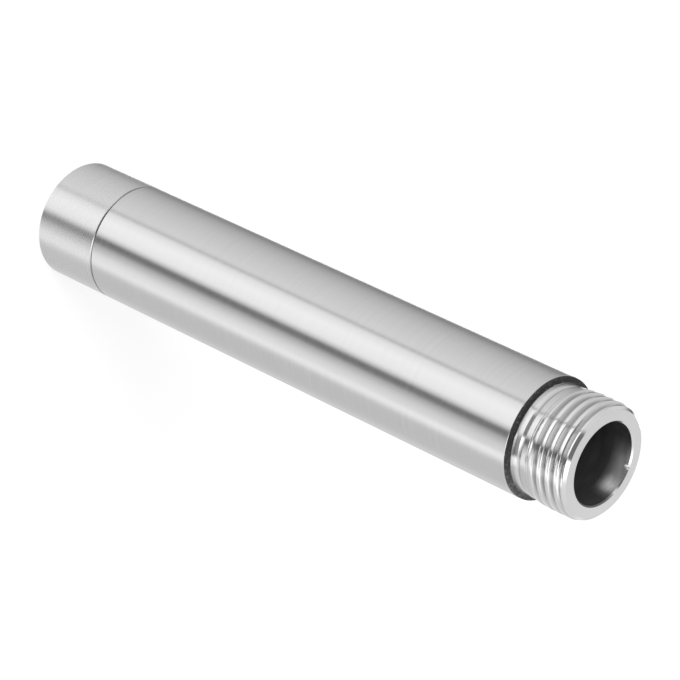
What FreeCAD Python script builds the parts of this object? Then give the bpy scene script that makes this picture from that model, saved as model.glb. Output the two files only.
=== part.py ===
import FreeCAD, Part
import os

import Sketcher

# Shower arm extension: a short straight pipe that carries water from a wall outlet or an arm
# to a shower head. It stands here on its socket end, with its axis on +Z and the centre of
# the socket's end face at the origin. All sizes are in millimetres.

# Sizes that can be set by themselves: name, value, what it is
DRIVING_SIZES = [
    ("overall_length", 127.0, "socket end face to spigot end face"),
    ("thread_major_d", 20.96, "G 1/2 thread, across the roots of the female one"),
    ("thread_pitch", 1.814, "14 threads an inch"),
    ("flank_angle", 27.5, "each flank from the plane across the axis, in degrees"),
    ("mouth_wall", 0.52, "tube's outside to those roots, on the radius"),
    ("tube_wall", 1.5, "outer tube wall"),
    ("tube_edge_break", 0.12, "chamfer on both outer edges of the tube"),
    ("plug_length", 10.0, "part of each end fitting that is bonded inside the tube"),
    ("plug_gap", 0.05, "bond line between plug and tube, on the radius"),
    ("plug_wall", 2.075, "wall of each plug, from the bond line to the waterway"),
    ("plug_chamfer", 0.4, "lead-in on the end of each plug"),
    ("spigot_projection", 12.0, "tube end to spigot end face"),
    ("lead_length", 1.5, "taper from the end face to the thread's crest"),
    ("lead_depth", 0.825, "how far that taper comes in, on the radius"),
    ("bore_edge_break", 0.25, "chamfer on the bore's mouth"),
    ("male_crest_inset", 0.13, "male crest inside the female root, on the radius"),
    ("male_thread_length", 6.8, "crest from the lead taper to the plain land"),
    ("male_first_root", 1.15, "first root behind the spigot's end face"),
    ("land_inset", 0.25, "plain land inside the male crest, on the radius"),
    ("land_length", 1.1, "length of that land"),
    ("undercut_depth", 0.35, "turned groove between land and neck, below the neck"),
    ("undercut_width", 0.85, "width of that groove"),
    ("shoulder_width", 1.1, "tube's end face outside the neck, on the radius"),
    ("ring_thickness", 0.5, "flat rubber ring on that end face"),
    ("ring_inset", 0.05, "ring's edge inside the tube's outer face, on the radius"),
    ("ring_gap", 0.04, "ring to neck, on the radius"),
    ("collar_length", 14.4, "visible length of the socket collar"),
    ("collar_edge_break", 0.2, "chamfer on both outer edges of the collar"),
    ("female_thread_end", 10.0, "end of the socket's thread, from its end face"),
    ("relief_depth", 0.68, "washer's recess beyond the socket's wall, on the radius"),
    ("relief_length", 2.5, "length of that recess"),
    ("washer_clearance", 0.5, "flat sealing washer inside its recess, on the radius"),
    ("washer_width", 3.5, "flat sealing washer, from its hole to its rim"),
    ("washer_thickness", 2.0, "flat sealing washer, thickness"),
]

# Sizes and places that follow from the ones above: name, formula
DERIVED_SIZES = [
    ("foot_z", "0"),
    ("thread_flat", "thread_pitch / 6"),
    ("flank_slope", "tan(flank_angle)"),
    ("thread_depth", "(thread_pitch - 2 * thread_flat) / (2 * flank_slope)"),
    ("major_radius", "thread_major_d / 2"),
    ("minor_radius", "major_radius - thread_depth"),
    ("tube_radius", "major_radius + mouth_wall"),
    ("tube_bore_radius", "tube_radius - tube_wall"),
    ("tube_low_z", "collar_length"),
    ("tube_high_z", "overall_length - spigot_projection"),
    ("tube_length", "tube_high_z - tube_low_z"),
    ("plug_radius", "tube_bore_radius - plug_gap"),
    ("waterway_radius", "plug_radius - plug_wall"),
    ("plug_tip_radius", "plug_radius - plug_chamfer"),
    ("spigot_plug_end_z", "tube_high_z - plug_length"),
    ("spigot_plug_full_z", "spigot_plug_end_z + plug_chamfer"),
    ("neck_radius", "tube_radius - shoulder_width"),
    ("undercut_radius", "neck_radius - undercut_depth"),
    ("crest_radius", "major_radius - male_crest_inset"),
    ("land_radius", "crest_radius - land_inset"),
    ("face_radius", "crest_radius - lead_depth"),
    ("mouth_radius", "waterway_radius + bore_edge_break"),
    ("mouth_z", "overall_length - bore_edge_break"),
    ("crest_high_z", "overall_length - lead_length"),
    ("crest_low_z", "crest_high_z - male_thread_length"),
    ("land_low_z", "crest_low_z - land_length"),
    ("undercut_low_z", "land_low_z - undercut_width"),
    ("male_root_radius", "crest_radius - thread_depth"),
    ("male_root_high_z", "overall_length - male_first_root + thread_flat / 2"),
    ("male_root_low_z", "male_root_high_z - thread_flat"),
    ("male_open_high_z", "male_root_high_z + thread_depth * flank_slope"),
    ("male_open_low_z", "male_root_low_z - thread_depth * flank_slope"),
    ("male_rooted_length", "male_root_low_z - crest_low_z - thread_pitch / 2"),
    ("male_turns", "floor(male_rooted_length / thread_pitch) + 1"),
    ("male_pattern_length", "thread_pitch * (male_turns - 1)"),
    ("ring_radius", "tube_radius - ring_inset"),
    ("ring_bore_radius", "neck_radius + ring_gap"),
    ("foot_radius", "tube_radius - collar_edge_break"),
    ("collar_low_edge_z", "foot_z + collar_edge_break"),
    ("collar_high_edge_z", "collar_length - collar_edge_break"),
    ("collar_plug_end_z", "collar_length + plug_length"),
    ("collar_plug_full_z", "collar_plug_end_z - plug_chamfer"),
    ("socket_lead_z", "major_radius - minor_radius"),
    ("relief_radius", "minor_radius + relief_depth"),
    ("seat_z", "female_thread_end + relief_length"),
    ("washer_radius", "relief_radius - washer_clearance"),
    ("washer_hole_radius", "washer_radius - washer_width"),
    ("washer_low_z", "seat_z - washer_thickness"),
]

# Half sections beside the axis: corners as (radius, height), in order round the outline
SPIGOT_SECTION = [
    ("waterway_radius", "spigot_plug_end_z"),
    ("plug_tip_radius", "spigot_plug_end_z"),
    ("plug_radius", "spigot_plug_full_z"),
    ("plug_radius", "tube_high_z"),
    ("neck_radius", "tube_high_z"),
    ("neck_radius", "undercut_low_z"),
    ("undercut_radius", "undercut_low_z"),
    ("undercut_radius", "land_low_z"),
    ("land_radius", "land_low_z"),
    ("land_radius", "crest_low_z"),
    ("crest_radius", "crest_low_z"),
    ("crest_radius", "crest_high_z"),
    ("face_radius", "overall_length"),
    ("mouth_radius", "overall_length"),
    ("waterway_radius", "mouth_z"),
]
TOOTH_SPACE = [
    ("crest_radius", "male_open_low_z"),
    ("crest_radius", "male_open_high_z"),
    ("male_root_radius", "male_root_high_z"),
    ("male_root_radius", "male_root_low_z"),
]
COLLAR_SECTION = [
    ("major_radius", "foot_z"),
    ("foot_radius", "foot_z"),
    ("tube_radius", "collar_low_edge_z"),
    ("tube_radius", "collar_high_edge_z"),
    ("foot_radius", "collar_length"),
    ("plug_radius", "collar_length"),
    ("plug_radius", "collar_plug_full_z"),
    ("plug_tip_radius", "collar_plug_end_z"),
    ("waterway_radius", "collar_plug_end_z"),
    ("waterway_radius", "seat_z"),
    ("relief_radius", "seat_z"),
    ("relief_radius", "female_thread_end"),
    ("minor_radius", "female_thread_end"),
    ("minor_radius", "socket_lead_z"),
]

FULL_TURN = 360
SAME_SIZE = 1e-6

# Points that a sketch's constraints hold: a line's two ends, a circle's centre, the origin
START, END, CENTRE = range(1, 4)
SKETCH_ORIGIN = (-1, START)

doc = FreeCAD.newDocument("shower_arm_extension")


def fill_sheet():
    """Put every size in the document's sheet under its own name."""
    sheet = doc.addObject("Spreadsheet::Sheet", "sizes")
    rows = [(name, str(value)) for name, value, note in DRIVING_SIZES]
    rows += [(name, "=" + formula) for name, formula in DERIVED_SIZES]
    for number, (name, content) in enumerate(rows, start=1):
        sheet.set(f"A{number}", name)
        sheet.set(f"B{number}", content)
        sheet.setAlias(f"B{number}", name)
    doc.recompute()
    return sheet


sizes = fill_sheet()


def size(name):
    return float(sizes.get(name))


def new_body(name):
    body = doc.addObject("PartDesign::Body", name)
    body.Label = name
    return body


def origin_feature(body, role):
    return next(feature for feature in body.Origin.OriginFeatures if feature.Role == role)


def new_sketch(body, name, plane_role):
    sketch = body.newObject("Sketcher::SketchObject", name)
    sketch.AttachmentSupport = [(origin_feature(body, plane_role), "")]
    sketch.MapMode = "FlatFace"
    sketch.Visibility = False
    return sketch


def constrain(sketch, kind, *where, to):
    """Add a constraint that takes its value from a named size."""
    index = sketch.addConstraint(Sketcher.Constraint(kind, *where, size(to)))
    sketch.setExpression(f"Constraints[{index}]", f"sizes.{to}")


def half_section(body, name, corners):
    """Draw a closed outline beside the axis, with every corner tied to its two sizes."""
    sketch = new_sketch(body, name, "XZ_Plane")
    points = [FreeCAD.Vector(size(radius), size(height), 0) for radius, height in corners]
    following = points[1:] + points[:1]
    for corner, next_corner in zip(points, following):
        sketch.addGeometry(Part.LineSegment(corner, next_corner))
    for line, (radius, height) in enumerate(corners):
        next_line = (line + 1) % len(corners)
        sketch.addConstraint(Sketcher.Constraint("Coincident", line, END, next_line, START))
        constrain(sketch, "DistanceX", *SKETCH_ORIGIN, line, START, to=radius)
        constrain(sketch, "DistanceY", *SKETCH_ORIGIN, line, START, to=height)
    return sketch


def turn(body, kind, section):
    """Revolve a half section about the axis, to make a solid or to cut a groove."""
    feature = body.newObject(kind, f"{section.Name}_turned")
    feature.Profile = section
    feature.ReferenceAxis = (section, ["V_Axis"])
    feature.Angle = FULL_TURN
    doc.recompute()
    return feature


def cut_male_thread(body):
    """Cut the thread as rings one pitch apart: its true depth and flanks, without the lead."""
    section = half_section(body, "tooth_space", TOOTH_SPACE)
    whole = body.Shape.Volume
    groove = turn(body, "PartDesign::Groove", section)
    if groove.Shape.Volume >= whole:
        raise RuntimeError(f"the thread groove cut nothing from {body.Label}")
    rings = body.newObject("PartDesign::LinearPattern", "male_thread")
    rings.Originals = [groove]
    rings.Direction = (origin_feature(body, "Z_Axis"), [""])
    rings.Reversed = True
    rings.setExpression("Length", "sizes.male_pattern_length")
    rings.setExpression("Occurrences", "sizes.male_turns")
    body.Tip = rings
    doc.recompute()


def flat_ring(name, outer, inner, thickness, low_z):
    """Pad a flat ring between two radii and set it at its height."""
    body = new_body(name)
    sketch = new_sketch(body, f"{name}_outline", "XY_Plane")
    for index, radius in enumerate((outer, inner)):
        circle = Part.Circle(FreeCAD.Vector(), FreeCAD.Vector(0, 0, 1), size(radius))
        sketch.addGeometry(circle)
        sketch.addConstraint(Sketcher.Constraint("Coincident", index, CENTRE, *SKETCH_ORIGIN))
        constrain(sketch, "Radius", index, to=radius)
    pad = body.newObject("PartDesign::Pad", f"{name}_pad")
    pad.Profile = sketch
    pad.setExpression("Length", f"sizes.{thickness}")
    body.setExpression("Placement.Base.z", f"sizes.{low_z}")
    doc.recompute()
    return body


def chamfer_outer_edges(body, radius, amount):
    """Chamfer the ring's edges that have the named radius."""
    ring = body.Tip
    edges = [
        f"Edge{number}"
        for number, edge in enumerate(ring.Shape.Edges, start=1)
        if isinstance(edge.Curve, Part.Circle)
        and abs(edge.Curve.Radius - size(radius)) < SAME_SIZE
    ]
    chamfer = body.newObject("PartDesign::Chamfer", f"{body.Name}_edges")
    chamfer.Base = (ring, edges)
    chamfer.setExpression("Size", f"sizes.{amount}")
    doc.recompute()


def make_outer_tube():
    tube = flat_ring("outer_tube", "tube_radius", "tube_bore_radius", "tube_length", "tube_low_z")
    chamfer_outer_edges(tube, "tube_radius", "tube_edge_break")
    return tube


def make_threaded_spigot():
    """Turned end fitting: plug in the tube, neck, undercut, land, male thread, bore."""
    spigot = new_body("threaded_spigot")
    section = half_section(spigot, "spigot_section", SPIGOT_SECTION)
    turn(spigot, "PartDesign::Revolution", section)
    cut_male_thread(spigot)
    return spigot


def make_socket_collar():
    """Turned end fitting: collar as wide as the tube, socket, washer seat, plug.

    The socket's wall stands at the crests of its thread, and the mouth is as wide as the roots.
    """
    collar = new_body("socket_collar")
    section = half_section(collar, "collar_section", COLLAR_SECTION)
    turn(collar, "PartDesign::Revolution", section)
    return collar


def make_sealing_ring():
    """Rubber ring round the neck, flat on the tube's end face."""
    return flat_ring(
        "sealing_ring", "ring_radius", "ring_bore_radius", "ring_thickness", "tube_high_z"
    )


def make_socket_washer():
    """Rubber washer against the seat at the bottom of the socket."""
    return flat_ring(
        "socket_washer", "washer_radius", "washer_hole_radius", "washer_thickness", "washer_low_z"
    )


def check_document():
    for item in doc.Objects:
        if "Invalid" in item.State or "Error" in item.State:
            raise RuntimeError(f"{item.Label} did not build: {item.State}")


def write_part(body):
    shape = body.Shape
    if shape.isNull() or not shape.isValid():
        raise RuntimeError(f"{body.Label} has no valid shape")
    shape.exportStep(os.path.join("parts", f"{body.Label}.step"))


parts = [
    make_outer_tube(),
    make_threaded_spigot(),
    make_socket_collar(),
    make_sealing_ring(),
    make_socket_washer(),
]
doc.recompute()
check_document()
os.makedirs("parts", exist_ok=True)
for part in parts:
    write_part(part)
    print(f"{part.Label}: {part.Shape.Volume:.1f} mm3, box {part.Shape.BoundBox}")
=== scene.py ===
import math

import bmesh
import bpy
import numpy as np
from mathutils import Matrix, Vector


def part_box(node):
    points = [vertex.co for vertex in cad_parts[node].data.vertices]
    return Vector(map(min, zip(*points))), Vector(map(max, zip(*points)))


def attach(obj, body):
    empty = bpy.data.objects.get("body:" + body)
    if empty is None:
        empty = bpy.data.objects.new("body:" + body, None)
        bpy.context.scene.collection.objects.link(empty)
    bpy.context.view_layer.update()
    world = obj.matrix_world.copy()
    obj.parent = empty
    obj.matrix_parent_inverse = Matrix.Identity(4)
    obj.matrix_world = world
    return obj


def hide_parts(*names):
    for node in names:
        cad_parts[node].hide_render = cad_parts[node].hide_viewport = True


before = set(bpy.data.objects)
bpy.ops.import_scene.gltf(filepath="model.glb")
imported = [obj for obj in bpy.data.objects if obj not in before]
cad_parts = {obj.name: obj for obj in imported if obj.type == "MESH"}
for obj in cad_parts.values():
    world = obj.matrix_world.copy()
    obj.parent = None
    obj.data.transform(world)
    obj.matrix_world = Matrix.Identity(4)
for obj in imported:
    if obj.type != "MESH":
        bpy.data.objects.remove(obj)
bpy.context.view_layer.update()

# Shower arm extension: finish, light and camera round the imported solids. It stands on its
# socket end, and the camera is rolled so that it lies across the picture. Lengths are metres.

MM = 0.001
ROOT_BODY = "root"
COLLAR_LOW, COLLAR_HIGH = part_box("socket_collar")
TUBE_LOW, TUBE_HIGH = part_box("outer_tube")
SPIGOT_LOW, SPIGOT_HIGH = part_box("threaded_spigot")
RING_LOW, RING_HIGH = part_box("sealing_ring")
WASHER_LOW, WASHER_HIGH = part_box("socket_washer")

# Heights on the axis, and radii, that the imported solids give
FOOT = COLLAR_LOW.z
SEAM = TUBE_LOW.z
TUBE_END = TUBE_HIGH.z
TOP = SPIGOT_HIGH.z
TUBE_RADIUS = TUBE_HIGH.x
CREST_RADIUS = SPIGOT_HIGH.x
WASHER_RADIUS = WASHER_HIGH.x

# Sizes that the boxes don't give, as in the solids' own source
TUBE_BORE_RADIUS = 9.5 * MM
PLUG_RADIUS = 9.45 * MM
PLUG_TIP_RADIUS = 9.05 * MM
PLUG_CHAMFER = 0.4 * MM
WATERWAY_RADIUS = 7.375 * MM
BORE_EDGE = 0.25 * MM
NECK_RADIUS = 9.9 * MM
LAND_RADIUS = 10.1 * MM
FACE_RADIUS = 9.525 * MM
LEAD_LENGTH = 1.5 * MM
CREST_END = 8.3 * MM
LAND_END = 9.4 * MM
COLLAR_EDGE = 0.2 * MM
FEMALE_THREAD_END = 10.0 * MM
RELIEF_RADIUS = 9.998 * MM
SEAT = 12.5 * MM
RING_BORE_RADIUS = 9.94 * MM
WASHER_BORE_RADIUS = 5.998 * MM

# Rounded 55 degree thread, 14 turns an inch
MAJOR_RADIUS = 10.48 * MM
PITCH = 1.814 * MM
FLANK = math.radians(27.5)
ROUNDING = 0.1373 * PITCH
THREAD_DEPTH = 0.6403 * PITCH

# Chamfer at the tube's near end, which the black ring's rim covers
TUBE_EDGE = 0.16 * MM
# The shadow line between the collar and the tube
SLIT_WIDTH = 0.20 * MM
SLIT_DEPTH = 0.45 * MM
SLIT_EDGE = 0.04 * MM
# The neck flares down to the ring: height above the ring, and radius. The close rows at each
# bend keep the shading even on the long rows between them.
NECK_FLARE = [
    (0.0, 10.02 * MM),
    (0.02 * MM, 10.013 * MM),
    (0.33 * MM, 9.917 * MM),
    (0.37 * MM, 9.907 * MM),
    (1.12 * MM, 9.832 * MM),
    (1.15 * MM, 9.824 * MM),
]
# Floor of the undercut, from the neck to the land: depth below the end face, and radius drop
UNDERCUT_FLOOR = [
    (10.33 * MM, 0.084 * MM),
    (10.30 * MM, 0.10 * MM),
    (9.86 * MM, 0.33 * MM),
    (9.72 * MM, 0.37 * MM),
    (9.55 * MM, 0.37 * MM),
    (9.43 * MM, 0.30 * MM),
]
# The thread's run-out and the land narrow towards the undercut, from this depth on
LAND_START = 7.4 * MM
LAND_TAPER = 0.04
RING_ROUNDING = 0.08 * MM
WASHER_ROUNDING = 0.2 * MM

AROUND = 360
ROWS_A_TURN = 44
EDGE_ROUNDING = 0.05 * MM
SHARP_EDGE = math.radians(40)
MERGE = 0.002 * MM
ANGLES = np.linspace(0, math.tau, AROUND, endpoint=False)


def from_crest(along):
    """Distance along the axis from the nearest crest."""
    return np.abs(along - np.round(along / PITCH) * PITCH)


def thread_depth(along):
    """Depth below the crest of the full form; along is measured from any crest."""
    along = from_crest(along)
    arc_half = ROUNDING * math.cos(FLANK)
    arc_depth = ROUNDING * (1 - math.sin(FLANK))
    crest = ROUNDING - np.sqrt(np.maximum(ROUNDING**2 - along**2, 0))
    flank = arc_depth + (along - arc_half) / math.tan(FLANK)
    from_root = PITCH / 2 - along
    root = THREAD_DEPTH - ROUNDING + np.sqrt(np.maximum(ROUNDING**2 - from_root**2, 0))
    return np.where(along < arc_half, crest, np.where(from_root < arc_half, root, flank))


def limit(place, points):
    """Straight-line interpolation between (place, radius) points."""
    places, radii = zip(*points)
    return np.interp(place, places, radii)


def grid(radii, heights, following):
    """Points of a grid round the axis, and its faces; following gives the next column's rows."""
    points = np.stack([radii * np.cos(ANGLES), radii * np.sin(ANGLES), heights], axis=-1)
    faces = []
    rows = len(radii)
    for column in range(AROUND):
        shift = following if column == AROUND - 1 else 0
        beside = (column + 1) % AROUND
        for row in range(rows - 1 - shift):
            faces.append(
                (
                    row * AROUND + column,
                    (row + shift) * AROUND + beside,
                    (row + 1 + shift) * AROUND + beside,
                    (row + 1) * AROUND + column,
                )
            )
    return points.reshape(-1, 3).tolist(), faces


def thread_wall(low, high, shape):
    """Wall between two (radius, height) rings whose rows climb with a right-hand thread."""
    step = PITCH / ROWS_A_TURN
    count = math.ceil((high[1] - low[1]) / step) + ROWS_A_TURN + 1
    levels = low[1] - PITCH + step * np.arange(count)[:, None]
    heights = np.clip(levels + PITCH * ANGLES / math.tau, low[1], high[1])
    radii = shape(heights, ANGLES[None, :])
    radii = np.where(heights <= low[1], low[0], np.where(heights >= high[1], high[0], radii))
    return grid(radii, heights, ROWS_A_TURN)


def lathe(name, rows, wall=None):
    """Turn a closed outline of (radius, height) rows; a wall closes it from last to first."""
    if not wall:
        rows = rows + rows[:1]
    radii, heights = (
        np.repeat(np.array(part)[:, None], AROUND, axis=1) for part in zip(*rows)
    )
    points, faces = grid(radii, heights, 0)
    if wall:
        wall_points, wall_faces = wall
        faces += [tuple(corner + len(points) for corner in face) for face in wall_faces]
        points += wall_points
    mesh = bpy.data.meshes.new(name)
    mesh.from_pydata(points, [], faces)
    work = bmesh.new()
    work.from_mesh(mesh)
    bmesh.ops.remove_doubles(work, verts=work.verts, dist=MERGE)
    work.to_mesh(mesh)
    work.free()
    mesh.polygons.foreach_set("use_smooth", [True] * len(mesh.polygons))
    mesh.set_sharp_from_angle(angle=SHARP_EDGE)
    mesh.update()
    piece = bpy.data.objects.new(name, mesh)
    bpy.context.scene.collection.objects.link(piece)
    return piece


def dress(piece, node, materials):
    """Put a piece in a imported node's place, with its finish."""
    for material in materials:
        piece.data.materials.append(material)
    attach(piece, ROOT_BODY)
    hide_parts(node)


class Nodes:
    """Short calls for building a node tree."""

    def __init__(self, tree):
        self.tree = tree
        self.tree.nodes.clear()

    def add(self, kind, inputs=None, **settings):
        node = self.tree.nodes.new(kind)
        for name, value in settings.items():
            setattr(node, name, value)
        for socket, value in (inputs or {}).items():
            if isinstance(value, bpy.types.NodeSocket):
                self.tree.links.new(value, node.inputs[socket])
            else:
                node.inputs[socket].default_value = value
        return node

    def math(self, operation, *values):
        return self.add(
            "ShaderNodeMath", dict(enumerate(values)), operation=operation
        ).outputs[0]

    def blend(self, share, first, second):
        """First at share 0, second at share 1."""
        return self.add(
            "ShaderNodeMix", {"Factor": share, 2: first, 3: second}, data_type="FLOAT"
        ).outputs[0]

    def mix_shaders(self, share, first, second):
        """First at share 0, second at share 1."""
        return self.add(
            "ShaderNodeMixShader", {0: share, 1: first.outputs[0], 2: second.outputs[0]}
        )

    def ramp(self, value, stops):
        """Grey by (place, grey) stops, with places from 0 to 1."""
        node = self.add("ShaderNodeValToRGB", {"Fac": value})
        elements = node.color_ramp.elements
        while len(elements) < len(stops):
            elements.new(1.0)
        for element, (place, grey) in zip(elements, stops):
            element.position = place
            element.color = (grey, grey, grey, 1)
        return node.outputs["Color"]

    def object_place(self):
        """X, Y and Z in the object's own space."""
        place = self.add("ShaderNodeTexCoord").outputs["Object"]
        return self.add("ShaderNodeSeparateXYZ", {0: place}).outputs[:3]

    def from_axis(self, x, y):
        """Distance from the pipe's axis."""
        squares = self.math("ADD", self.math("MULTIPLY", x, x), self.math("MULTIPLY", y, y))
        return self.math("SQRT", squares)

    def metre_ramp(self, value, stops, start=0.0):
        """A ramp over 20 mm, whose stops are in millimetres from start."""
        span = 20 * MM
        share = self.math("DIVIDE", self.math("SUBTRACT", value, start), span)
        return self.ramp(share, [(place * MM / span, grey) for place, grey in stops])

    def signed_ramp(self, value, stops):
        """A ramp over -1 to 1."""
        shifted = self.math("MULTIPLY_ADD", value, 0.5, 0.5)
        return self.ramp(shifted, [((place + 1) / 2, grey) for place, grey in stops])

    def round_ramp(self, share, stops):
        """A ramp over the turn, where stops are angles on the tube in degrees."""
        half_turn = 180
        return self.ramp(share, [(0.5 + angle / half_turn, grey) for angle, grey in stops])

    def marks(self, across, along, detail):
        """Noise drawn out round the axis: fine along it, long across it."""
        place = self.add("ShaderNodeTexCoord").outputs["Object"]
        mapped = self.add(
            "ShaderNodeMapping", {"Vector": place, "Scale": (across, across, along)}
        ).outputs[0]
        return self.add(
            "ShaderNodeTexNoise",
            {"Vector": mapped, "Scale": 1.0, "Detail": detail, "Roughness": 0.6},
        ).outputs["Fac"]

    def by_marks(self, marks, low, high):
        """A value from low to high over the noise's usual range."""
        return self.ramp(marks, [(0.3, low), (0.7, high)])

    def bump(self, height, strength, distance):
        return self.add(
            "ShaderNodeBump", {"Height": height, "Strength": strength, "Distance": distance}
        ).outputs[0]

    def principled(self, **inputs):
        """The tree's surface; an input's name has _ for a space."""
        named = {name.replace("_", " "): value for name, value in inputs.items()}
        self.surface(self.add("ShaderNodeBsdfPrincipled", named))

    def surface(self, shader):
        self.add("ShaderNodeOutputMaterial", {"Surface": shader.outputs[0]})


def new_material(name):
    material = bpy.data.materials.new(name)
    material.use_nodes = True
    return material, Nodes(material.node_tree)


def marked_metal(nodes, marks, colour, rough, metallic=1.0, anisotropic=0.95):
    """Metal with fine marks round the axis, which draw its gloss out along the axis."""
    nodes.principled(
        Base_Color=colour,
        Metallic=metallic,
        Roughness=rough,
        Anisotropic=anisotropic,
        Anisotropic_Rotation=0.25,
        Normal=nodes.bump(marks, 0.1, 0.01 * MM),
        Tangent=nodes.add("ShaderNodeTangent", direction_type="RADIAL", axis="Z").outputs[0],
    )


# The slit at the seam gets painted shade, by its radius and by the distance from the seam
SEAM_SHADE_DEPTH = 0.92
SLIT_RADII = [(10.4, 0), (10.5, 1), (10.84, 1), (10.92, 0)]
SLIT_SPAN = [(0.0, 1), (0.25, 1), (0.3, 0)]
# The collar's edge there gets painted shade as well, but not near X = 0, which is in front
SEAM_EDGE_SPAN = [(0.0, 0.65), (0.18, 0.65), (0.22, 0)]
SEAM_EDGE_FROM = [(5.5, 0), (8.0, 1)]
# Share of the fine marks in the brushing, beside the wide ones
FINE_SHARE = 0.7


def painted_seam_shade(nodes):
    """Painted shade in the seam between the collar and the tube: dark there, 1 elsewhere."""
    x, y, z = nodes.object_place()
    from_seam = nodes.math("ABSOLUTE", nodes.math("SUBTRACT", z, SEAM))
    slit = nodes.math(
        "MULTIPLY",
        nodes.metre_ramp(nodes.from_axis(x, y), SLIT_RADII),
        nodes.metre_ramp(from_seam, SLIT_SPAN),
    )
    edge = nodes.math(
        "MULTIPLY",
        nodes.metre_ramp(from_seam, SEAM_EDGE_SPAN),
        nodes.metre_ramp(nodes.math("ABSOLUTE", x), SEAM_EDGE_FROM),
    )
    return nodes.math("MULTIPLY_ADD", nodes.math("MAXIMUM", slit, edge), -SEAM_SHADE_DEPTH, 1.0)


def brushed_steel(name, metallic, anisotropic, rougher):
    material, nodes = new_material(name)
    fine = nodes.marks(across=30, along=9000, detail=3)
    wide = nodes.marks(across=40, along=2200, detail=2)
    marks = nodes.blend(FINE_SHARE, wide, fine)
    rough = nodes.by_marks(marks, 0.20 + rougher, 0.26 + rougher)
    # Painted shade in the seam darkens the marks' colour
    colour = nodes.math("MULTIPLY", nodes.by_marks(marks, 0.68, 0.745), painted_seam_shade(nodes))
    marked_metal(nodes, marks, colour, rough, metallic, anisotropic)
    return material


# Where the bright metal is duller and has painted shade: deep in the thread's grooves, by the
# radius and by the depth below the end face, and likewise in the undercut
GROOVE_RADII = [(9.2, 0), (9.3, 1), (10.2, 0.3), (10.34, 0)]
GROOVE_SPAN = [(0.7, 0), (1.2, 1), (9.38, 1), (9.42, 0)]
UNDERCUT_RADII = [(9.2, 0), (9.3, 1), (9.65, 1), (9.72, 0)]
UNDERCUT_SPAN = [(9.35, 0), (9.4, 1), (10.42, 1), (10.5, 0)]
GROOVE_PAINTED_SHADE = 0.38
GROOVE_DULL = 0.08
# The land, and more so the neck, are duller than the thread
DULL_NECK = 0.09
DULL_NECK_FROM = [(7.3, 0), (7.6, 0.4), (10.2, 0.4), (10.35, 1), (11.6, 1)]


def groove_mask(nodes, radius, below_top):
    """1 deep in the male thread's grooves and in the undercut, 0 on what stands proud."""
    grooves, undercut = (
        nodes.math(
            "MULTIPLY", nodes.metre_ramp(radius, radii), nodes.metre_ramp(below_top, span)
        )
        for radii, span in ((GROOVE_RADII, GROOVE_SPAN), (UNDERCUT_RADII, UNDERCUT_SPAN))
    )
    return nodes.math("MAXIMUM", grooves, undercut)


def bright_metal():
    material, nodes = new_material("bright_metal")
    marks = nodes.marks(across=25, along=14000, detail=2)
    x, y, z = nodes.object_place()
    below_top = nodes.math("SUBTRACT", TOP, z)
    groove = groove_mask(nodes, nodes.from_axis(x, y), below_top)
    rough = nodes.math("MULTIPLY_ADD", groove, GROOVE_DULL, nodes.by_marks(marks, 0.09, 0.18))
    neck = nodes.metre_ramp(below_top, DULL_NECK_FROM)
    rough = nodes.math("MULTIPLY_ADD", neck, DULL_NECK, rough)
    # Painted shade deep in the grooves and in the undercut
    shade = nodes.math("MULTIPLY_ADD", groove, -GROOVE_PAINTED_SHADE, 1.0)
    colour = nodes.math("MULTIPLY", nodes.by_marks(marks, 0.80, 0.88), shade)
    marked_metal(nodes, marks, colour, rough)
    return material


# The bore has painted light near its mouth, by the depth below the end face with noise added
# to it, and only on the part of its wall between two values of X, counted from BORE_SIDE_START.
# The rest of the wall has painted shade.
BORE_MOUTH = [(0, 1), (2.6, 1), (3.5, 0.6), (4.9, 0)]
BORE_SIDE = [(4.4, 0), (5.8, 0.35), (7.7, 1), (12.7, 1), (13.5, 0.75), (14.2, 0.25), (15.2, 0)]
BORE_SIDE_START = -10 * MM
BORE_PAINTED_SHADE = 0.19
BORE_RAGGED = 1.2 * MM


def bore_metal():
    """The waterway's drilled wall: dull, with drill marks round it, and painted light in its
    mouth.
    """
    material, nodes = new_material("bore_metal")
    marks = nodes.marks(across=220, along=900, detail=3)
    x, _, z = nodes.object_place()
    ragged = nodes.math("MULTIPLY_ADD", marks, BORE_RAGGED, nodes.math("SUBTRACT", TOP, z))
    # Painted light: 1 where the mouth is lit, 0 where it has painted shade
    lit = nodes.math(
        "MULTIPLY",
        nodes.metre_ramp(ragged, BORE_MOUTH),
        nodes.metre_ramp(x, BORE_SIDE, BORE_SIDE_START),
    )
    shade = nodes.blend(lit, BORE_PAINTED_SHADE, 1.0)
    nodes.principled(
        Base_Color=nodes.math("MULTIPLY", nodes.by_marks(marks, 0.66, 0.92), shade),
        Metallic=0.75,
        Roughness=nodes.by_marks(marks, 0.28, 0.48),
        Normal=nodes.bump(marks, 0.3, 0.05 * MM),
    )
    return material


# The sealing ring is dusty on one side, from here out along X
DUSTY_FROM = [(6.5, 0), (10.5, 1)]
DUST_GREY = 0.16
BLACK_GRAIN = [(0.35, 0.008), (0.61, 0.020), (0.73, 0.17)]
DUST_GRAIN = [(0.40, 0.2), (0.65, 1)]


def black_rubber():
    material, nodes = new_material("black_rubber")
    place = nodes.add("ShaderNodeTexCoord").outputs["Object"]
    grain = nodes.add(
        "ShaderNodeTexNoise", {"Vector": place, "Scale": 3000.0, "Detail": 4.0}
    ).outputs["Fac"]
    dusty = nodes.metre_ramp(nodes.object_place()[0], DUSTY_FROM)
    dust = nodes.math("MULTIPLY", dusty, DUST_GREY)
    black = nodes.ramp(grain, BLACK_GRAIN)
    nodes.principled(
        Base_Color=nodes.math("MULTIPLY_ADD", nodes.ramp(grain, DUST_GRAIN), dust, black),
        Roughness=0.6,
        Normal=nodes.bump(grain, 0.5, 0.05 * MM),
    )
    return material


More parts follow.
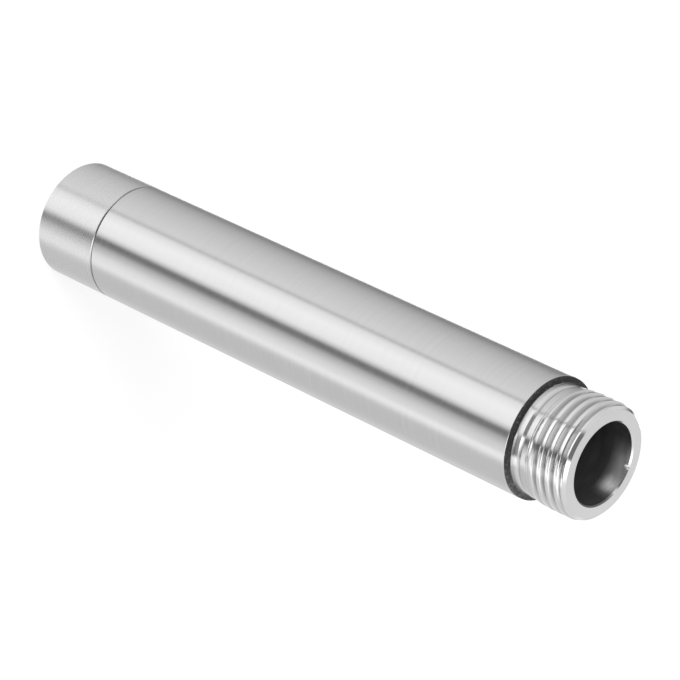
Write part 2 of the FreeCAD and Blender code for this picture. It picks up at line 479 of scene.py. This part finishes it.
def make_outer_tube(steel):
    corners = [
        (TUBE_BORE_RADIUS, SEAM),
        (TUBE_RADIUS - SLIT_DEPTH, SEAM),
        (TUBE_RADIUS - SLIT_DEPTH, SEAM + SLIT_WIDTH),
        (TUBE_RADIUS - SLIT_EDGE, SEAM + SLIT_WIDTH),
        (TUBE_RADIUS, SEAM + SLIT_WIDTH + SLIT_EDGE),
        (TUBE_RADIUS, TUBE_END - TUBE_EDGE),
        (TUBE_RADIUS - TUBE_EDGE, TUBE_END),
        (TUBE_BORE_RADIUS, TUBE_END),
    ]
    dress(lathe("brushed_tube", corners), "outer_tube", [steel])


# One crest of the male thread is this far below the end face, at the angle of the side that
# faces the camera
MALE_CREST_BELOW_TOP = 1.95 * MM
CREST_FACES = -math.pi / 2
# The thread lies between two limits, given by the depth below the end face: no crest is
# higher than the one, and no root lower than the other. Both start with the lead taper and
# the small ridge in it, and end with the run-out.
ROOT_RADIUS = MAJOR_RADIUS - THREAD_DEPTH
LEAD_TAPER = [(0, FACE_RADIUS), (0.50 * MM, 10.04 * MM), (0.80 * MM, 10.06 * MM)]
CREST_LIMIT = [
    *LEAD_TAPER,
    (LEAD_LENGTH, CREST_RADIUS),
    (6.0 * MM, CREST_RADIUS),
    (CREST_END, LAND_RADIUS + 0.05 * MM),
]
ROOT_LIMIT = [
    *LEAD_TAPER,
    (1.15 * MM, ROOT_RADIUS),
    (6.7 * MM, ROOT_RADIUS),
    (8.1 * MM, LAND_RADIUS),
    (CREST_END, LAND_RADIUS),
]
# The crests are cut wide, and a little domed
CREST_CUT = 0.14 * MM
CREST_HALF = 0.30 * MM
CREST_DOME = 0.012 * MM
# Fine turned lines where the run-out meets the land
FINE_LINES = [7.72 * MM, 8.34 * MM]
FINE_LINE_HALF = 0.11 * MM
FINE_LINE_DEPTH = 0.07 * MM


def lower_of(first, second):
    """The smaller of two radii, with the corner between them rounded."""
    share = np.maximum(1 - np.abs(first - second) / EDGE_ROUNDING, 0)
    return np.minimum(first, second) - share**2 * EDGE_ROUNDING / 4


def male_thread(heights, angles):
    """Right-hand helix that starts in the lead taper and runs out before the land."""
    below_top = TOP - heights
    climb = PITCH * (angles - CREST_FACES) / math.tau
    along = heights - (TOP - MALE_CREST_BELOW_TOP) - climb
    dome = CREST_DOME * (from_crest(along) / CREST_HALF) ** 2
    full = MAJOR_RADIUS + CREST_CUT - thread_depth(along)
    cut = np.maximum(full, limit(below_top, ROOT_LIMIT))
    cut = lower_of(cut, limit(below_top, CREST_LIMIT) - np.minimum(dome, CREST_DOME))
    narrowing = LAND_TAPER * np.maximum(below_top - LAND_START, 0)
    formed = np.where(below_top < CREST_END, cut, LAND_RADIUS) - narrowing
    for place in FINE_LINES:
        share = np.maximum(1 - np.abs(below_top - place) / FINE_LINE_HALF, 0)
        formed = formed - FINE_LINE_DEPTH * share
    return formed


# A nick in the bore's edge, on the far side
NICK_ANGLE = math.radians(100)
NICK_HALF = math.radians(3.2)
NICK_DEPTH = 0.26 * MM
# From this X on, the bore's edge has the bore's finish and its painted shade, so that it shows
# no bright line
SHADED_BORE_EDGE_FROM = 3.7 * MM


def nick_bore_edge(mesh):
    for vertex in mesh.vertices:
        turn = math.remainder(math.atan2(vertex.co.y, vertex.co.x) - NICK_ANGLE, math.tau)
        at_edge = vertex.co.z > TOP - 2 * BORE_EDGE
        in_bore = vertex.co.xy.length < WATERWAY_RADIUS + 2 * BORE_EDGE
        if abs(turn) < NICK_HALF and at_edge and in_bore:
            depth = NICK_DEPTH * (1 - (turn / NICK_HALF) ** 2)
            vertex.co.xy *= 1 + depth / vertex.co.xy.length
            if vertex.co.z < TOP:
                vertex.co.z -= depth


def make_spigot(bright, bore):
    land = (LAND_RADIUS - LAND_TAPER * (LAND_END - LAND_START), TOP - LAND_END)
    corners = [
        (FACE_RADIUS, TOP),
        (WATERWAY_RADIUS + BORE_EDGE, TOP),
        (WATERWAY_RADIUS, TOP - BORE_EDGE),
        (WATERWAY_RADIUS, TOP - 3 * BORE_EDGE),
        (WATERWAY_RADIUS, TOP - 4 * BORE_EDGE),
        (WATERWAY_RADIUS, SPIGOT_LOW.z),
        (PLUG_TIP_RADIUS, SPIGOT_LOW.z),
        (PLUG_RADIUS, SPIGOT_LOW.z + PLUG_CHAMFER),
        (PLUG_RADIUS, TUBE_END),
        (NECK_RADIUS, TUBE_END),
        (NECK_RADIUS, RING_HIGH.z),
        *((radius, RING_HIGH.z + up) for up, radius in NECK_FLARE),
        *((NECK_RADIUS - drop, TOP - below) for below, drop in UNDERCUT_FLOOR),
        land,
    ]
    spigot = lathe("bright_spigot", corners, thread_wall(land, corners[0], male_thread))
    dress(spigot, "threaded_spigot", [bright, bore])
    for face in spigot.data.polygons:
        # On that side the bore's edge takes the bore's painted shade
        edge = BORE_EDGE if face.center.x >= SHADED_BORE_EDGE_FROM else 0
        if face.center.xy.length < WATERWAY_RADIUS + edge:
            face.material_index = 1
    nick_bore_edge(spigot.data)


FEMALE_LIMIT = [
    (0, MAJOR_RADIUS),
    (THREAD_DEPTH, MAJOR_RADIUS - THREAD_DEPTH),
    (FEMALE_THREAD_END, MAJOR_RADIUS - THREAD_DEPTH),
]


def female_thread(heights, angles):
    """Right-hand helix in the socket, open to the mouth's taper and to the relief."""
    climb = PITCH * angles / math.tau
    cut = MAJOR_RADIUS - thread_depth(heights - climb - PITCH / 2)
    return np.maximum(cut, limit(heights, FEMALE_LIMIT))


def make_socket_collar(satin):
    mouth = (MAJOR_RADIUS, FOOT)
    inner = (MAJOR_RADIUS - THREAD_DEPTH, FEMALE_THREAD_END)
    corners = [
        mouth,
        (TUBE_RADIUS - COLLAR_EDGE, FOOT),
        (TUBE_RADIUS, FOOT + COLLAR_EDGE),
        (TUBE_RADIUS, SEAM - COLLAR_EDGE),
        (TUBE_RADIUS - COLLAR_EDGE, SEAM),
        (PLUG_RADIUS, SEAM),
        (PLUG_RADIUS, COLLAR_HIGH.z - PLUG_CHAMFER),
        (PLUG_TIP_RADIUS, COLLAR_HIGH.z),
        (WATERWAY_RADIUS, COLLAR_HIGH.z),
        (WATERWAY_RADIUS, SEAT),
        (RELIEF_RADIUS, SEAT),
        (RELIEF_RADIUS, FEMALE_THREAD_END),
        inner,
    ]
    points, faces = thread_wall(mouth, inner, female_thread)
    # The wall's outside is towards the axis
    wall = points, [face[::-1] for face in faces]
    collar = lathe("brushed_collar", corners, wall)
    dress(collar, "socket_collar", [satin])


def make_sealing_ring(rubber):
    corners = [
        (RING_BORE_RADIUS, RING_LOW.z),
        (RING_HIGH.x - TUBE_EDGE, RING_LOW.z),
        (RING_HIGH.x, RING_LOW.z - TUBE_EDGE),
        (RING_HIGH.x, RING_HIGH.z - RING_ROUNDING),
        (RING_HIGH.x - RING_ROUNDING, RING_HIGH.z),
        (RING_BORE_RADIUS, RING_HIGH.z),
    ]
    dress(lathe("rubber_ring", corners), "sealing_ring", [rubber])


def make_washer(rubber):
    low, high = WASHER_LOW.z, WASHER_HIGH.z
    corners = [
        (WASHER_BORE_RADIUS + WASHER_ROUNDING, low),
        (WASHER_RADIUS - WASHER_ROUNDING, low),
        (WASHER_RADIUS, low + WASHER_ROUNDING),
        (WASHER_RADIUS, high - WASHER_ROUNDING),
        (WASHER_RADIUS - WASHER_ROUNDING, high),
        (WASHER_BORE_RADIUS + WASHER_ROUNDING, high),
        (WASHER_BORE_RADIUS, high - WASHER_ROUNDING),
        (WASHER_BORE_RADIUS, low + WASHER_ROUNDING),
    ]
    dress(lathe("rubber_washer", corners), "socket_washer", [rubber])


# Camera, from the photograph's ellipses
CAMERA_TARGET = Vector((0, 0, 67.1 * MM))
CAMERA_DISTANCE = 549.1 * MM
CAMERA_ELEVATION = math.radians(37.42)
CAMERA_ROLL = math.radians(115.22)
CAMERA_LENS = 166.55
CAMERA_SENSOR = 36.0
CAMERA_CLIP = (0.01, 20)


def make_camera():
    back = Vector((0, -math.cos(CAMERA_ELEVATION), math.sin(CAMERA_ELEVATION)))
    level = Vector((1, 0, 0))
    upright = back.cross(level)
    right = level * math.cos(CAMERA_ROLL) + upright * math.sin(CAMERA_ROLL)
    up = back.cross(right)
    turn = Matrix((right, up, back)).transposed().to_4x4()
    data = bpy.data.cameras.new("camera")
    data.lens = CAMERA_LENS
    data.sensor_width = CAMERA_SENSOR
    data.clip_start, data.clip_end = CAMERA_CLIP
    camera = bpy.data.objects.new("camera", data)
    bpy.context.scene.collection.objects.link(camera)
    camera.matrix_world = Matrix.Translation(CAMERA_TARGET + back * CAMERA_DISTANCE) @ turn
    bpy.context.scene.camera = camera


# What the metal sees round it. Level with the spigot and below it is a row of panels, given
# by the angle on the tube where each one shows: 0 faces the camera, positive is -X.
PANELS = [
    (-90, 0.58),
    (-82, 0.70),
    (-76, 0.88),
    (-64, 0.70),
    (-42, 0.72),
    (-38.5, 0.76),
    (-36.5, 1.16),
    (-28, 1.32),
    (-22, 1.18),
    (-17, 0.78),
    (-14, 0.15),
    (-10.0, 0.15),
    (-7.4, 0.82),
    (-4, 1.18),
    (8, 1.28),
    (17.5, 1.08),
    (19, 0.22),
    (20.5, 0.94),
    (44, 0.76),
    (60, 0.56),
    (68, 0.36),
    (78, 0.14),
    (81, 1.15),
    (90, 4.80),
]
# Overhead, by the X of the direction; past OVERHEAD_BACK in Y it is one grey. It starts at
# OVERHEAD_FROM, in Z.
OVERHEAD = [
    (-1.0, 0.60),
    (-0.75, 0.74),
    (-0.50, 0.76),
    (-0.40, 0.17),
    (0.24, 0.17),
    (0.32, 2.00),
    (0.48, 2.00),
    (0.72, 0.78),
]
OVERHEAD_BACK = [(0.15, 0), (0.5, 1)]
OVERHEAD_FROM = [(0.02, 0), (0.12, 1)]
BACK_GREY = 0.74
# A dark card low on the right, by the angle on the tube and the sine of its elevation
CARD_GREY = 0.10
CARD_ROUND = [(-30, 0), (-27, 1), (-14, 1), (-12, 0)]
CARD_HEIGHT = [(-0.48, 0), (-0.44, 1), (0.08, 1), (0.18, 0)]
# A grey one under it, which the collar mirrors
LOW_CARD_GREY = 0.30
LOW_CARD_ROUND = [(-30, 0), (-23, 0.65), (-15, 0.65), (-12, 0)]
LOW_CARD_HEIGHT = [(-0.68, 1), (-0.645, 0)]

WHITE = (1, 1, 1, 1)
WORLD_DIFFUSE = 0.75
FLOOR_SIZE = 6.0
FLOOR_GREY = 0.80
SHADOW_GREY = 0.35
FLOOR_GLOW = 0.70


def studio_grey(nodes, direction):
    """Brightness that the metal sees in a direction from the spigot."""
    unit = nodes.add("ShaderNodeVectorMath", {0: direction}, operation="NORMALIZE").outputs[0]
    x, y, z = nodes.add("ShaderNodeSeparateXYZ", {0: unit}).outputs[:3]
    share = nodes.math("FRACT", nodes.math("DIVIDE", nodes.math("ARCTAN2", x, y), math.tau))
    overhead = nodes.blend(
        nodes.signed_ramp(y, OVERHEAD_BACK), nodes.signed_ramp(x, OVERHEAD), BACK_GREY
    )
    level = nodes.round_ramp(share, PANELS)
    seen = nodes.blend(nodes.signed_ramp(z, OVERHEAD_FROM), level, overhead)
    for angles, sines, grey in (
        (CARD_ROUND, CARD_HEIGHT, CARD_GREY),
        (LOW_CARD_ROUND, LOW_CARD_HEIGHT, LOW_CARD_GREY),
    ):
        card = nodes.math(
            "MULTIPLY", nodes.round_ramp(share, angles), nodes.signed_ramp(z, sines)
        )
        seen = nodes.blend(card, seen, grey)
    return seen


def make_world():
    """White to the camera, panels to the gloss, and an even light to the rest."""
    world = bpy.data.worlds.new("studio")
    world.use_nodes = True
    bpy.context.scene.world = world
    nodes = Nodes(world.node_tree)
    seen = studio_grey(nodes, nodes.add("ShaderNodeTexCoord").outputs["Generated"])
    path = nodes.add("ShaderNodeLightPath").outputs
    plain, glossy, white = (
        nodes.add("ShaderNodeBackground", {"Color": colour, "Strength": strength})
        for colour, strength in ((WHITE, WORLD_DIFFUSE), (seen, 1.0), (WHITE, 1.0))
    )
    mixed = nodes.mix_shaders(path["Is Glossy Ray"], plain, glossy)
    mixed = nodes.mix_shaders(path["Is Camera Ray"], mixed, white)
    nodes.add("ShaderNodeOutputWorld", {"Surface": mixed.outputs[0]})


def make_floor():
    """A white floor that keeps a faint shadow. The gloss doesn't see it."""
    material, nodes = new_material("studio_floor")
    path = nodes.add("ShaderNodeLightPath").outputs
    matte, shaded = (
        nodes.add("ShaderNodeBsdfDiffuse", {"Color": (grey, grey, grey, 1)})
        for grey in (FLOOR_GREY, SHADOW_GREY)
    )
    glow = nodes.add("ShaderNodeEmission", {"Color": WHITE, "Strength": FLOOR_GLOW})
    shown = nodes.add("ShaderNodeAddShader", {0: shaded.outputs[0], 1: glow.outputs[0]})
    nodes.surface(nodes.mix_shaders(path["Is Camera Ray"], matte, shown))
    half = FLOOR_SIZE / 2
    corners = [(-half, -half, 0), (half, -half, 0), (half, half, 0), (-half, half, 0)]
    mesh = bpy.data.meshes.new("floor")
    mesh.from_pydata(corners, [], [(0, 1, 2, 3)])
    mesh.materials.append(material)
    floor = bpy.data.objects.new("floor", mesh)
    bpy.context.scene.collection.objects.link(floor)
    floor.visible_glossy = False


KEY_LAMP_PLACE = (-0.5, -0.9, 1.3)
KEY_LAMP_SIZE = 0.8
KEY_LAMP_WATTS = 12
# A narrow lamp, low in front, that lights one spot in the mouth of the bore
BORE_LAMP_CONE = math.radians(1.3)
BORE_LAMP_RADIUS = 1.0 * MM
BORE_LAMP_WATTS = 1.7
BORE_LAMP_TOWARD = Vector((-0.39, -0.88, 0.25))
BORE_LAMP_DISTANCE = 180 * MM
BORE_SPOT_TURN = math.radians(68)
BORE_SPOT_DEPTH = 1.9 * MM


def make_key_lamp():
    data = bpy.data.lights.new("key_lamp", "AREA")
    data.shape = "DISK"
    data.size = KEY_LAMP_SIZE
    data.energy = KEY_LAMP_WATTS
    place_lamp(data, Vector(KEY_LAMP_PLACE), CAMERA_TARGET)


def make_bore_lamp():
    data = bpy.data.lights.new("bore_lamp", "SPOT")
    data.spot_size = BORE_LAMP_CONE
    data.spot_blend = 1.0
    data.shadow_soft_size = BORE_LAMP_RADIUS
    data.energy = BORE_LAMP_WATTS
    spot = Vector(
        (
            WATERWAY_RADIUS * math.cos(BORE_SPOT_TURN),
            WATERWAY_RADIUS * math.sin(BORE_SPOT_TURN),
            TOP - BORE_SPOT_DEPTH,
        )
    )
    place_lamp(data, spot + BORE_LAMP_TOWARD * BORE_LAMP_DISTANCE, spot)


def place_lamp(data, place, target):
    lamp = bpy.data.objects.new(data.name, data)
    bpy.context.scene.collection.objects.link(lamp)
    lamp.location = place
    lamp.rotation_euler = (target - place).to_track_quat("-Z", "Y").to_euler()
    lamp.visible_glossy = False


bpy.context.scene.view_settings.view_transform = "Standard"
make_camera()
make_world()
make_floor()
make_key_lamp()
make_bore_lamp()
make_outer_tube(brushed_steel("brushed_steel", metallic=1.0, anisotropic=0.95, rougher=0.0))
make_spigot(bright_metal(), bore_metal())
# The collar's finish is more satin than the tube's
make_socket_collar(
    brushed_steel("satin_steel", metallic=0.86, anisotropic=0.85, rougher=0.04)
)
rubber = black_rubber()
make_sealing_ring(rubber)
make_washer(rubber)
